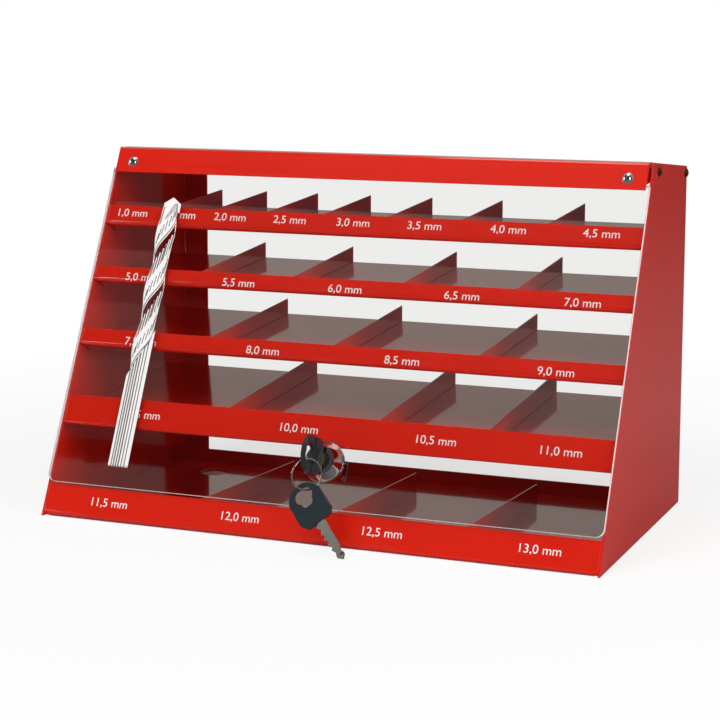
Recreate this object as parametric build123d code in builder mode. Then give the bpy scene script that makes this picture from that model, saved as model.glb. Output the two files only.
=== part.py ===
"""Sloping twist-drill dispenser case in sheet steel, with a lift-up acrylic front.

Two trapezoid side panels carry a base tray, four sloping shelves and a top panel, and the
back is open. Sheet dividers part the five rows into compartments, one for each drill size.
The clear front hangs from two pins in the top corners and is held shut by a cam lock.

Frame: origin under the middle of the base, X to the right, Y to the back, Z up.
Millimetres and degrees. "Along the slope" is measured up the front face from its foot, and
"out" is measured square to the front face, positive towards the user.
"""
import os
from math import acos, asin, atan2, cos, degrees, hypot, radians, sin, tan

from build123d import *

# Case outline
case_width = 400.0
case_depth = 215.0
front_height = 250.0
rear_height = 242.0
top_depth = 98.0

# Sheet thicknesses and bends
side_sheet = 1.5
base_sheet = 1.5
shelf_sheet = 1.2
divider_sheet = 1.0
cover_sheet = 1.2
bend_radius = 2.8
top_corner_radius = 4.0
fit_gap = 0.05

# Side panels
rear_flange = 21.0

# Base tray
base_lip_top = 23.3
tray_setback = 19.5
upstand_height = 10.8
base_hole_radius = 10.0
base_hole_x = -147.0
base_hole_y = 52.5

# Shelves, from the top row down: bottom edge and height of each front lip along the slope
shelf_lip_bottoms = [213.8, 170.5, 122.3, 66.7]
shelf_lip_heights = [16.8, 13.4, 14.6, 21.1]
shelf_tilt = 4.6
shelf_setback = 28.0
end_flange = 8.0
end_flange_inset = 6.0
keeper_depth = 6.6
keeper_gap = 0.8
keeper_bend = 1.55

# Dividers, row by row from the top: places across the width, and rise above the floor at the back
divider_places = [
    [-152.3, -114.8, -72.8, -30.2, 18.2, 72.0, 133.2],
    [-116.0, -44.2, 37.5, 117.4],
    [-97.6, -4.9, 99.4],
    [-73.4, 37.4, 114.6],
    [-82.0, 16.0, 108.0],
]
divider_rises = [12.5, 11.5, 11.5, 14.5, 13.5]
divider_front_gap = 0.3
divider_corner = 2.0
base_divider_setback = 50.5

# Top panel
top_front_setback = 9.5
top_front_return = 8.0
top_rear_return = 10.0
top_corner_relief = 9.0
top_end_flange = 11.0
top_notch_width = 4.5
top_notch_depth = 14.0
rivet_shank_radius = 1.8
rivet_setback = 5.5
rivet_drop = 4.9

# Cover pins, and the dome heads of pins and rivets
pin_radius = 2.0
pin_setback = 13.4
pin_drop = 6.5
dome_radius = 3.75
dome_height = 1.9
formed_head_radius = 3.2
formed_head_height = 1.4
washer_radius = 5.0
washer_thickness = 1.0
washer_gap = 0.1

# Acrylic front
window_thickness = 3.0
window_gap = 0.3
window_margin = 0.5
window_foot = 24.6
window_corner = 5.5
window_top_gap = 2.5
window_notch_gap = 0.7

# Header strip over the top of the acrylic
header_depth = 18.9
header_return = 11.5
ear_radius = 5.8
ear_foot_gap = 4.0
cover_screw_inset = 15.5
cover_screw_rise = 8.0
cover_screw_radius = 2.0
cover_screw_length = 10.5
cover_screw_head = 4.0
cover_screw_dome = 2.4
cover_washer_radius = 4.6
cover_washer_thickness = 0.8
cover_nut_flats = 7.0
cover_nut_height = 3.2

# Cam lock
lock_x = 6.0
lock_slope = 55.0
bezel_radius = 14.0
bezel_rim = 2.6
bezel_face_radius = 9.6
bezel_height = 8.8
bezel_round = 0.8
barrel_radius = 8.5
barrel_flat = 7.6
barrel_depth = 16.8
lock_nut_flats = 20.0
lock_nut_height = 4.0
plug_radius = 6.6
plug_proud = 0.3
stud_size = 6.0
stud_length = 2.4
cam_sheet = 2.0
cam_width = 13.0
cam_reach = 18.4
cam_heel = 7.5
cam_step = 12.6
cam_step_radius = 12.2
cam_bend = 2.4
cam_screw_radius = 1.9
cam_screw_depth = 3.0
cam_screw_head = 4.2
cam_screw_head_height = 2.2

# Keys
blade_length = 29.5
blade_width = 7.4
blade_sheet = 2.0
blade_tip = 6.0
blade_waist = 3.4
blade_point_width = 5.2
bitting_depth = 1.3
bitting_places = [5.5, 10.0, 14.5, 19.0]
tang_length = 9.0
bow_length = 28.5
bow_width = 24.0
bow_shoulder_width = 18.0
bow_sheet = 2.4
grip_thickness = 4.2
grip_length = 12.5
shoulder_gap = 2.2
lobe_radius = 4.6
lobe_spread = 2.4
lobe_centre = 19.4

# Key ring and the spare key that hangs on it
ring_radius = 10.3
ring_wire = 0.6
ring_turn = 45.0
ring_clearance = 1.3
spare_lean = 20.0
table_gap = 0.3

# Worked out from the sizes above
slope_angle = degrees(atan2(case_depth - top_depth, front_height))
slope_length = front_height / cos(radians(slope_angle))
front_foot_y = -case_depth / 2
rear_y = case_depth / 2
top_front_y = rear_y - top_depth
inner_half = case_width / 2 - side_sheet
top_fall = (front_height - rear_height) / top_depth
shelf_back_y = rear_y - shelf_setback
tray_back_y = rear_y - tray_setback
floor_pitch = tan(radians(shelf_tilt))
pin_y = top_front_y + pin_setback
pin_z = front_height - pin_drop
rivet_y = rear_y - rivet_setback
window_back = window_gap
window_front = window_gap + window_thickness
header_front = window_front + cover_sheet
ear_outer_x = inner_half - washer_thickness - washer_gap
lock_face = window_front + bezel_height
plug_face = lock_face + plug_proud

SLOPE_UP = Vector(0, sin(radians(slope_angle)), cos(radians(slope_angle)))
OUTWARD = Vector(0, -cos(radians(slope_angle)), sin(radians(slope_angle)))
FOOT = Vector(0, front_foot_y, 0)


def on_front(slope, out=0.0, x=0.0):
    """The point at a distance up the slope, and out from the front face."""
    return FOOT + SLOPE_UP * slope + OUTWARD * out + Vector(x, 0, 0)


def section(slope, out=0.0):
    """The same point as (y, z), for profiles drawn on the YZ plane."""
    point = on_front(slope, out)
    return (point.Y, point.Z)


def front_plane(out=0.0, x=0.0, slope=0.0):
    """A plane on the front face: its x runs across, its y runs up the slope."""
    return Plane(origin=on_front(slope, out, x), x_dir=(1, 0, 0), z_dir=OUTWARD)


def top_height(y):
    """Height of the top panel's upper face, and of the side panels' top edges."""
    return front_height - (y - top_front_y) * top_fall


def finish(builder, label):
    """Labels a finished piece and writes its STEP file."""
    builder.part.label = label
    export_step(builder.part, f"parts/{label}.step")


os.makedirs("parts", exist_ok=True)


# ---------------------------------------------------------------- side panels
side_outline = [
    (front_foot_y, 0),
    (rear_y, 0),
    (rear_y, rear_height),
    (top_front_y, front_height),
]

with BuildPart() as right_side:
    # In plan, the sheet runs back along the outer face and turns in along the open back.
    with BuildSketch(Plane.XY):
        with BuildLine():
            FilletPolyline(
                (case_width / 2, front_foot_y),
                (case_width / 2, rear_y),
                (case_width / 2 - rear_flange, rear_y),
                radius=bend_radius,
            )
            offset(amount=side_sheet, side=Side.LEFT)
        make_face()
    extrude(amount=front_height)
    # The trapezoid outline, with the top front corner rounded.
    with BuildSketch(Plane.YZ):
        Polygon(*side_outline, align=None)
        fillet(
            vertices().sort_by_distance((0, top_front_y, front_height))[0],
            radius=top_corner_radius,
        )
    extrude(amount=case_width, both=True, mode=Mode.INTERSECT)
    with BuildSketch(Plane.YZ.offset(inner_half - side_sheet)):
        with Locations((pin_y, pin_z)):
            Circle(pin_radius + fit_gap)
        with Locations((rivet_y, top_height(rivet_y) - rivet_drop)):
            Circle(rivet_shank_radius + fit_gap)
    extrude(amount=3 * side_sheet, mode=Mode.SUBTRACT)
finish(right_side, "right_side")

with BuildPart() as left_side:
    mirror(right_side.part, about=Plane.YZ)
finish(left_side, "left_side")


# ---------------------------------------------------------------- base tray
with BuildPart() as base_tray:
    with BuildSketch(Plane.YZ.offset(-inner_half)):
        with BuildLine():
            FilletPolyline(
                section(base_lip_top),
                (front_foot_y, 0),
                (tray_back_y, 0),
                (tray_back_y, upstand_height),
                radius=bend_radius,
            )
            offset(amount=base_sheet, side=Side.LEFT)
        make_face()
    extrude(amount=2 * inner_half)
    with BuildSketch(Plane.XY):
        with Locations((base_hole_x, base_hole_y)):
            Circle(base_hole_radius)
    extrude(amount=2 * base_sheet, mode=Mode.SUBTRACT)
finish(base_tray, "base_tray")


# ---------------------------------------------------------------- shelves
shelf_count = len(shelf_lip_bottoms)
keeper_thickness = 2 * shelf_sheet + keeper_gap


def shelf_line(row):
    """Outer line of a shelf from its lip to its back edge, as (y, z), with its bend radii."""
    bottom = shelf_lip_bottoms[row]
    line = [section(bottom + shelf_lip_heights[row]), section(bottom)]
    radii = [bend_radius]
    if row == shelf_count - 1:
        # The lowest lip is hemmed below its floor: the cam of the lock closes behind it.
        line += [
            section(bottom, -keeper_thickness),
            section(bottom + keeper_depth, -keeper_thickness),
        ]
        radii = [keeper_bend, keeper_bend, keeper_bend]
    start_y, start_z = line[-1]
    line.append((shelf_back_y, start_z + (shelf_back_y - start_y) * floor_pitch))
    return line, radii


def floor_height(row, y):
    """Height of the upper face of a row's floor at a depth y."""
    if row == shelf_count:
        return base_sheet
    start_y, start_z = shelf_line(row)[0][-2]
    return start_z + (y - start_y) * floor_pitch + shelf_sheet / cos(radians(shelf_tilt))


for row in range(shelf_count):
    line, radii = shelf_line(row)
    start_y, start_z = line[-2]
    back_y, back_z = line[-1]
    flange_start = start_y + end_flange_inset
    flange_end = back_y - end_flange_inset
    with BuildPart() as shelf:
        with BuildSketch(Plane.YZ.offset(-inner_half)):
            with BuildLine():
                FilletPolyline(*line, radius=radii)
                offset(amount=shelf_sheet, side=Side.LEFT)
            make_face()
        extrude(amount=2 * inner_half)
        # End flanges, turned down and welded to the side panels.
        flange_top = shelf_sheet / 2
        with BuildSketch(Plane.YZ.offset(inner_half - shelf_sheet)):
            Polygon(
                (flange_start, start_z + end_flange_inset * floor_pitch + flange_top),
                (flange_start + end_flange, start_z - end_flange / 2),
                (flange_end - end_flange, back_z - end_flange),
                (flange_end, back_z - end_flange_inset * floor_pitch + flange_top),
                align=None,
            )
        extrude(amount=shelf_sheet)
        mirror(about=Plane.YZ)
    finish(shelf, f"shelf_{row + 1}")


# ---------------------------------------------------------------- dividers
def divider_outline(row):
    """Outline of one row's divider as (y, z): down behind the lip, along the floor, up."""
    on_base = row == shelf_count
    sheet = base_sheet if on_base else shelf_sheet
    lip_top = base_lip_top if on_base else shelf_lip_bottoms[row] + shelf_lip_heights[row]
    back_y = rear_y - base_divider_setback if on_base else shelf_back_y
    front_out = -(sheet + divider_front_gap)
    top_y, top_z = section(lip_top, front_out)
    # The front edge runs down behind the lip until it meets the floor.
    lean = tan(radians(slope_angle))
    front_pitch = 0.0 if on_base else floor_pitch
    floor_here = floor_height(row, top_y)
    foot_z = (floor_here - front_pitch * top_z * lean) / (1 - front_pitch * lean)
    foot_y = top_y - (top_z - foot_z) * lean
    toe_y = foot_y + divider_corner
    return [
        (top_y, top_z),
        (foot_y + divider_corner * lean, foot_z + divider_corner),
        (toe_y, floor_height(row, toe_y)),
        (back_y, floor_height(row, back_y)),
        (back_y, floor_height(row, back_y) + divider_rises[row]),
    ]


for row, places in enumerate(divider_places):
    for number, place in enumerate(places, start=1):
        with BuildPart() as divider:
            with BuildSketch(Plane.YZ.offset(place - divider_sheet / 2)):
                Polygon(*divider_outline(row), align=None)
            extrude(amount=divider_sheet)
        finish(divider, f"divider_{row + 1}_{number}")


# ---------------------------------------------------------------- top panel
panel_front_y = top_front_y + top_front_setback
panel_back_y = rear_y - bend_radius

with BuildPart() as top_panel:
    with BuildSketch(Plane.YZ.offset(-inner_half)):
        with BuildLine():
            FilletPolyline(
                (panel_back_y, top_height(panel_back_y) - top_rear_return),
                (panel_back_y, top_height(panel_back_y)),
                (panel_front_y, top_height(panel_front_y)),
                (panel_front_y, top_height(panel_front_y) - top_front_return),
                radius=bend_radius,
            )
            offset(amount=cover_sheet, side=Side.LEFT)
        make_face()
    extrude(amount=2 * inner_half)
    # Relief in the rear corner, round the rivet's formed head.
    with BuildSketch(Plane.YZ.offset(inner_half - top_corner_relief)):
        with Locations((panel_back_y - bend_radius, top_height(panel_back_y))):
            Rectangle(
                2 * bend_radius,
                4 * top_rear_return,
                align=(Align.MIN, Align.CENTER),
            )
    extrude(amount=top_corner_relief, mode=Mode.SUBTRACT)
    # A notch in the front corner lets the cover's ear swing up past the panel.
    notch_back_y = pin_y + top_notch_depth
    with BuildSketch(Plane.YZ.offset(inner_half - top_notch_width)):
        with Locations((panel_front_y - bend_radius, top_height(panel_front_y))):
            Rectangle(
                notch_back_y - panel_front_y + bend_radius,
                4 * top_front_return,
                align=(Align.MIN, Align.CENTER),
            )
    extrude(amount=top_notch_width, mode=Mode.SUBTRACT)
    # The end flange is riveted to the side panel.
    flange_ends = (notch_back_y, panel_back_y)
    with BuildSketch(Plane.YZ.offset(inner_half - cover_sheet)):
        Polygon(
            (flange_ends[0], top_height(flange_ends[0]) - cover_sheet / 2),
            (flange_ends[0], top_height(flange_ends[0]) - top_end_flange),
            (flange_ends[1], top_height(flange_ends[1]) - top_end_flange),
            (flange_ends[1], top_height(flange_ends[1]) - cover_sheet / 2),
            align=None,
        )
        with Locations((rivet_y, top_height(rivet_y) - rivet_drop)):
            Circle(rivet_shank_radius + fit_gap, mode=Mode.SUBTRACT)
    extrude(amount=cover_sheet)
    split(bisect_by=Plane.YZ, keep=Keep.TOP)
    mirror(about=Plane.YZ)
finish(top_panel, "top_panel")


# ---------------------------------------------------------------- pins, rivets and washers
def domed_pin(head_plane, shank, head, height, length, formed_seat=None):
    """A domed pin with its head's seat on a plane, and a formed head at its other end."""
    dome = (head**2 + height**2) / (2 * height)
    edge_angle = degrees(asin((dome - height) / dome))
    lengthwise = Plane(head_plane.origin, x_dir=head_plane.x_dir, z_dir=-head_plane.y_dir)
    with BuildPart() as pin:
        with BuildSketch(lengthwise):
            with BuildLine():
                CenterArc((0, height - dome), dome, edge_angle, 90 - edge_angle)
                Polyline((0, height), (0, -length), (shank, -length), (shank, 0), (head, 0))
            make_face()
        revolve(axis=Axis(head_plane.origin, head_plane.z_dir))
        if formed_seat is not None:
            with BuildSketch(head_plane.offset(-formed_seat - formed_head_height)):
                Circle(formed_head_radius)
            extrude(amount=formed_head_height)
    return pin.part


def both_sides(part):
    """A piece on the right-hand side, and its mirror image on the left."""
    with BuildPart() as pair:
        add(part)
        mirror(part, about=Plane.YZ)
    return pair


pin_stack = side_sheet + washer_thickness + 2 * washer_gap + cover_sheet
pin_plane = Plane(origin=(case_width / 2, pin_y, pin_z), x_dir=(0, 1, 0), z_dir=(1, 0, 0))
hinge_pins = both_sides(
    domed_pin(pin_plane, pin_radius, dome_radius, dome_height, pin_stack, pin_stack)
)
finish(hinge_pins, "hinge_pins")

rivet_z = top_height(rivet_y) - rivet_drop
rivet_stack = side_sheet + cover_sheet
rivet_plane = Plane(origin=(case_width / 2, rivet_y, rivet_z), x_dir=(0, 1, 0), z_dir=(1, 0, 0))
top_rivets = both_sides(
    domed_pin(rivet_plane, rivet_shank_radius, dome_radius, dome_height, rivet_stack, rivet_stack)
)
finish(top_rivets, "top_rivets")

with BuildPart() as one_washer:
    with BuildSketch(Plane.YZ.offset(inner_half - washer_thickness)):
        with Locations((pin_y, pin_z)):
            Circle(washer_radius)
            Circle(pin_radius + fit_gap, mode=Mode.SUBTRACT)
    extrude(amount=washer_thickness)
hinge_washers = both_sides(one_washer.part)
finish(hinge_washers, "hinge_washers")


# ---------------------------------------------------------------- header strip
# The slope distance at which the strip's outer face reaches the height of the top corner.
header_top = (front_height - header_front * SLOPE_UP.Y) / SLOPE_UP.Z
header_corner = section(header_top, header_front)
header_foot = header_top - header_depth
cover_screw_x = case_width / 2 - cover_screw_inset
cover_screw_slope = header_foot + cover_screw_rise

with BuildPart() as header_strip:
    with BuildSketch(Plane.YZ.offset(-ear_outer_x)):
        with BuildLine():
            FilletPolyline(
                (header_corner[0] + header_return, front_height),
                header_corner,
                section(header_foot, header_front),
                radius=bend_radius,
            )
            offset(amount=cover_sheet, side=Side.LEFT)
        make_face()
    extrude(amount=2 * ear_outer_x)
    # The ear turns back from the end of the strip, beside the acrylic, to the pin.
    for side in (1, -1):
        inner_face = ear_outer_x - cover_sheet if side > 0 else -ear_outer_x
        with BuildSketch(Plane.YZ.offset(inner_face)):
            with BuildLine():
                Polyline(
                    section(header_foot + ear_foot_gap, window_front),
                    section(header_top - bend_radius, window_front),
                )
                with Locations((pin_y, pin_z)):
                    CenterArc((pin_y, pin_z), ear_radius, 0, 360)
            make_hull()
            with Locations((pin_y, pin_z)):
                Circle(pin_radius + fit_gap, mode=Mode.SUBTRACT)
        extrude(amount=cover_sheet)
    with BuildSketch(front_plane(window_front)):
        with Locations((cover_screw_x, cover_screw_slope), (-cover_screw_x, cover_screw_slope)):
            Circle(cover_screw_radius + fit_gap)
    extrude(amount=2 * cover_sheet, mode=Mode.SUBTRACT)
finish(header_strip, "header_strip")


# ---------------------------------------------------------------- acrylic front
window_half = case_width / 2 - window_margin
window_top = header_top - window_top_gap
# Notches in its top corners clear the header's ears, and hide behind the strip.
notch_half = ear_outer_x - cover_sheet - window_notch_gap
window_notch_foot = header_foot + ear_foot_gap - window_notch_gap

with BuildPart() as front_window:
    with BuildSketch(front_plane(window_back)):
        with BuildLine():
            Polyline(
                (-window_half, window_foot),
                (window_half, window_foot),
                (window_half, window_notch_foot),
                (notch_half, window_notch_foot),
                (notch_half, window_top),
                (-notch_half, window_top),
                (-notch_half, window_notch_foot),
                (-window_half, window_notch_foot),
                close=True,
            )
        make_face()
        fillet(vertices().group_by(Axis.Y)[0], radius=window_corner)
        with Locations((cover_screw_x, cover_screw_slope), (-cover_screw_x, cover_screw_slope)):
            Circle(cover_screw_radius + fit_gap, mode=Mode.SUBTRACT)
        # The lock's hole has two flats, which keep the barrel from turning.
        with BuildSketch(mode=Mode.PRIVATE) as lock_hole:
            with Locations((lock_x, lock_slope)):
                Circle(barrel_radius + fit_gap)
                Rectangle(
                    2 * (barrel_flat + fit_gap), 3 * barrel_radius, mode=Mode.INTERSECT
                )
        add(lock_hole.sketch, mode=Mode.SUBTRACT)
    extrude(amount=window_thickness)
finish(front_window, "front_window")


# ---------------------------------------------------------------- cover fasteners
screw_plane = front_plane(header_front, cover_screw_x, cover_screw_slope)
cover_screws = both_sides(
    domed_pin(
        screw_plane, cover_screw_radius, cover_screw_head, cover_screw_dome, cover_screw_length
    )
)
finish(cover_screws, "cover_screws")

with BuildPart() as one_cover_washer:
    with BuildSketch(
        front_plane(window_back - cover_washer_thickness, cover_screw_x, cover_screw_slope)
    ):
        Circle(cover_washer_radius)
        Circle(cover_screw_radius + fit_gap, mode=Mode.SUBTRACT)
    extrude(amount=cover_washer_thickness)
cover_washers = both_sides(one_cover_washer.part)
finish(cover_washers, "cover_washers")

cover_nut_back = window_back - cover_washer_thickness - cover_nut_height
with BuildPart() as one_cover_nut:
    with BuildSketch(front_plane(cover_nut_back, cover_screw_x, cover_screw_slope)):
        RegularPolygon(cover_nut_flats / 2, 6, major_radius=False)
        Circle(cover_screw_radius + fit_gap, mode=Mode.SUBTRACT)
    extrude(amount=cover_nut_height)
cover_nuts = both_sides(one_cover_nut.part)
finish(cover_nuts, "cover_nuts")


# ---------------------------------------------------------------- cam lock
lock_plane = front_plane(0, lock_x, lock_slope)
barrel_back = -barrel_depth

with BuildPart() as lock_housing:
    # Barrel with two flats, through the acrylic.
    with BuildSketch(lock_plane.offset(barrel_back)):
        Circle(barrel_radius)
        Rectangle(2 * barrel_flat, 3 * barrel_radius, mode=Mode.INTERSECT)
    extrude(amount=barrel_depth + window_front)
    # Bezel: a short rim against the acrylic, then a cone up to the flat face.
    with BuildSketch(lock_plane.offset(window_front)):
        Circle(bezel_radius)
    extrude(amount=bezel_rim)
    with BuildSketch(lock_plane.offset(window_front + bezel_rim)):
        Circle(bezel_radius - bezel_round)
    with BuildSketch(lock_plane.offset(lock_face)):
        Circle(bezel_face_radius)
    loft()
    fillet(
        edges()
        .filter_by(GeomType.CIRCLE)
        .filter_by(lambda edge: abs(edge.radius - bezel_radius) < fit_gap)
        .sort_by(SortBy.DISTANCE)[-1],
        radius=bezel_round / 2,
    )
    with BuildSketch(lock_plane.offset(barrel_back)):
        Circle(plug_radius + fit_gap)
    extrude(amount=barrel_depth + lock_face, mode=Mode.SUBTRACT)
finish(lock_housing, "lock_housing")

with BuildPart() as lock_nut:
    with BuildSketch(lock_plane.offset(window_back - lock_nut_height)):
        RegularPolygon(lock_nut_flats / 2, 6, major_radius=False, rotation=30)
        Circle(barrel_radius + fit_gap, mode=Mode.SUBTRACT)
    extrude(amount=lock_nut_height)
finish(lock_nut, "lock_nut")

shoulder_out = plug_face + shoulder_gap
keyway_depth = blade_length - shoulder_gap + blade_sheet / 4
with BuildPart() as lock_plug:
    with BuildSketch(lock_plane.offset(barrel_back - fit_gap)):
        Circle(plug_radius)
    extrude(amount=plug_face - barrel_back + fit_gap)
    # Square stud for the cam, drilled for its screw.
    with BuildSketch(lock_plane.offset(barrel_back - stud_length)):
        Rectangle(stud_size, stud_size)
    extrude(amount=stud_length)
    with BuildSketch(lock_plane.offset(barrel_back - stud_length)):
        Circle(cam_screw_radius + fit_gap)
    extrude(amount=cam_screw_depth, mode=Mode.SUBTRACT)
    # Keyway, upright at rest.
    with BuildSketch(lock_plane.offset(plug_face - keyway_depth)):
        Rectangle(blade_sheet + 4 * fit_gap, blade_width + 4 * fit_gap)
    extrude(amount=keyway_depth, mode=Mode.SUBTRACT)
finish(lock_plug, "lock_plug")

# The cam is a stepped plate: its root sits on the stud, and its tip is stepped forward so
# that it closes behind the hem of the lowest shelf. At rest it points to the left.
cam_seat = barrel_back - 2 * fit_gap
with BuildPart() as lock_cam:
    with BuildSketch(
        Plane(
            origin=on_front(lock_slope - cam_width / 2, 0, lock_x),
            x_dir=(-1, 0, 0),
            z_dir=SLOPE_UP,
        )
    ):
        with BuildLine():
            FilletPolyline(
                (-cam_heel, cam_seat),
                (cam_step_radius - cam_sheet, cam_seat),
                (cam_step_radius - cam_sheet, cam_seat + cam_step),
                (cam_reach, cam_seat + cam_step),
                radius=cam_bend,
            )
            offset(amount=cam_sheet, side=Side.RIGHT)
        make_face()
    extrude(amount=cam_width)
    # Both ends are rounded about the lock's axis.
    with BuildSketch(lock_plane.offset(cam_seat - 2 * cam_sheet)):
        with Locations((-(cam_reach - cam_heel) / 2, 0)):
            Rectangle(cam_reach + cam_heel, cam_width)
        Circle(cam_reach, mode=Mode.INTERSECT)
    extrude(amount=cam_step + 4 * cam_sheet, mode=Mode.INTERSECT)
    with BuildSketch(lock_plane.offset(cam_seat - 2 * cam_sheet)):
        Rectangle(stud_size + 2 * fit_gap, stud_size + 2 * fit_gap)
    extrude(amount=3 * cam_sheet, mode=Mode.SUBTRACT)
finish(lock_cam, "lock_cam")

screw_seat = barrel_back - stud_length - fit_gap
with BuildPart() as cam_screw:
    with BuildSketch(lock_plane.offset(screw_seat - cam_screw_head_height)):
        Circle(cam_screw_head)
    extrude(amount=cam_screw_head_height, taper=-8)
    with BuildSketch(lock_plane.offset(screw_seat)):
        Circle(cam_screw_radius)
    extrude(amount=cam_screw_depth - 2 * fit_gap)
    with BuildSketch(lock_plane.offset(screw_seat - cam_screw_head_height)):
        Rectangle(2 * cam_screw_head, cam_screw_radius / 2)
    extrude(amount=cam_screw_head_height / 2, mode=Mode.SUBTRACT)
finish(cam_screw, "cam_screw")


# ---------------------------------------------------------------- keys
def key_blade_part(key_plane):
    """Blade with its bitting and pointed tip. Local x runs from the shoulder to the bow."""
    half = blade_width / 2
    with BuildPart() as blade:
        with BuildSketch(key_plane):
            with BuildLine():
                Polyline(
                    (tang_length, -half),
                    (tang_length, half),
                    (-(blade_length - 1.6 * blade_tip), half),
                    (-(blade_length - blade_tip), blade_waist / 2),
                    (-(blade_length - 0.7 * blade_tip), blade_point_width / 2),
                    (-(blade_length - 0.4 * blade_tip), blade_point_width / 2),
                    (-blade_length, 0),
                    (-(blade_length - 0.4 * blade_tip), -blade_point_width / 2),
                    (-(blade_length - 0.7 * blade_tip), -blade_point_width / 2),
                    (-(blade_length - blade_tip), -blade_waist / 2),
                    (-(blade_length - 1.6 * blade_tip), -half),
                    close=True,
                )
            make_face()
            for place in bitting_places:
                with Locations((-place, half)):
                    Rectangle(
                        2 * bitting_depth, 2 * bitting_depth, rotation=45, mode=Mode.SUBTRACT
                    )
        extrude(amount=blade_sheet / 2, both=True)
    return blade


def key_bow_part(key_plane):
    """Moulded bow: a plate with a three-lobed cut-out, thicker where it grips the blade."""
    half = bow_width / 2
    shoulder = bow_shoulder_width / 2
    with BuildPart() as bow:
        with BuildSketch(key_plane):
            with BuildLine():
                Polyline(
                    (lobe_centre, half),
                    (grip_length / 3, half),
                    (0, shoulder),
                    (0, -shoulder),
                    (grip_length / 3, -half),
                    (lobe_centre, -half),
                )
                ThreePointArc((lobe_centre, -half), (bow_length, 0), (lobe_centre, half))
            make_face()
            for angle in (60, 180, 300):
                with Locations(
                    (
                        lobe_centre + lobe_spread * cos(radians(angle)),
                        lobe_spread * sin(radians(angle)),
                    )
                ):
                    Circle(lobe_radius, mode=Mode.SUBTRACT)
        extrude(amount=bow_sheet / 2, both=True)
        with BuildSketch(key_plane):
            Polygon(
                (0, shoulder),
                (0, -shoulder),
                (grip_length / 3, -half),
                (grip_length, -half),
                (grip_length, half),
                (grip_length / 3, half),
                align=None,
            )
        extrude(amount=grip_thickness / 2, both=True)
        with BuildSketch(key_plane):
            with Locations((0, 0)):
                Rectangle(2 * tang_length, blade_width)
        extrude(amount=blade_sheet / 2, both=True, mode=Mode.SUBTRACT)
    return bow


inserted_plane = Plane(
    origin=on_front(lock_slope, shoulder_out, lock_x), x_dir=OUTWARD, z_dir=(1, 0, 0)
)
finish(key_blade_part(inserted_plane), "key_blade")
finish(key_bow_part(inserted_plane), "key_bow")


# ---------------------------------------------------------------- ring and spare key
def lobe_point(key_plane, angle):
    """Centre of the lobe at an angle in a bow's cut-out."""
    return key_plane.from_local_coords(
        Vector(
            lobe_centre + lobe_spread * cos(radians(angle)), lobe_spread * sin(radians(angle)), 0
        )
    )


wire_offset = lobe_radius - ring_wire - ring_clearance
DOWN = Vector(0, 0, -1)
# The ring's wire lies just above the lowest point of the inserted key's cut-out.
ring_top = lobe_point(inserted_plane, 60) + DOWN * wire_offset
ring_centre = ring_top + DOWN * ring_radius
ring_bottom = ring_centre + DOWN * ring_radius
ring_along = Vector(cos(radians(ring_turn)), sin(radians(ring_turn)), 0)

with BuildPart() as key_ring:
    with BuildLine(Plane(origin=ring_centre, x_dir=ring_along, z_dir=ring_along.cross(DOWN))):
        CenterArc((0, 0), ring_radius, 0, 360)
    with BuildSketch(Plane(origin=ring_centre + ring_along * ring_radius, z_dir=DOWN)):
        Circle(ring_wire)
    sweep()
finish(key_ring, "key_ring")

# The spare key leans forward and hangs on the ring by its bow, tilted as far as it takes for
# its tip to stand on the table.
spare_face = Vector(0, -cos(radians(spare_lean)), sin(radians(spare_lean)))
spare_up = Vector(0, sin(radians(spare_lean)), cos(radians(spare_lean)))
tip_to_lobe = blade_length + lobe_centre + lobe_spread * cos(radians(300))
lobe_side = -lobe_spread * sin(radians(300))
tip_drop = ring_bottom.Z - table_gap - blade_sheet / 2 * spare_face.Z
upright_drop = min(1.0, (tip_drop / spare_up.Z - wire_offset) / hypot(tip_to_lobe, lobe_side))
spare_tilt = atan2(lobe_side, tip_to_lobe) + acos(upright_drop)
spare_axis = Vector(-1, 0, 0) * sin(spare_tilt) + spare_up * cos(spare_tilt)
spare_at_origin = Plane(origin=(0, 0, 0), x_dir=spare_axis, z_dir=spare_face)
spare_wire = lobe_point(spare_at_origin, 300) + spare_up * wire_offset
spare_plane = Plane(origin=ring_bottom - spare_wire, x_dir=spare_axis, z_dir=spare_face)
finish(key_blade_part(spare_plane), "spare_key_blade")
finish(key_bow_part(spare_plane), "spare_key_bow")
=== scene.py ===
"""Looks of the drill bit case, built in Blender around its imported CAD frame.

Metres throughout, in the frame of the CAD: X to the right, Y to the back, Z up. "Slope" is
the distance up the leaning front from its foot, and "out" is the distance in front of it.
"""
from __future__ import annotations

import logging
import math
from dataclasses import dataclass, field
from enum import Enum
from typing import Any, Iterable, Sequence

import bmesh
import bpy
from mathutils import Matrix, Vector


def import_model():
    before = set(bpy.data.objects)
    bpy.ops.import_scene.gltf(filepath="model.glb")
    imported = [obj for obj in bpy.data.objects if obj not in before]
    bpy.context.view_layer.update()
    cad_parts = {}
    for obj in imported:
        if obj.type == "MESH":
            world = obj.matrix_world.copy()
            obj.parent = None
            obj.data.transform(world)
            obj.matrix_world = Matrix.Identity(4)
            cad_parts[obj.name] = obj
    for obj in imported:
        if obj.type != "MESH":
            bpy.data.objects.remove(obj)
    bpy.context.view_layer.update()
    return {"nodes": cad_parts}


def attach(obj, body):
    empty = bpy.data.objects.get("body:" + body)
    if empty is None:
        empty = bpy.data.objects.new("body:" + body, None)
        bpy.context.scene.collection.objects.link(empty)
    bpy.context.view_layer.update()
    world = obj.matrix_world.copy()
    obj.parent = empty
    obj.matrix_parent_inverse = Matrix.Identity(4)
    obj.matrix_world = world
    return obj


log = logging.getLogger("drill_bit_case")

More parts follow.
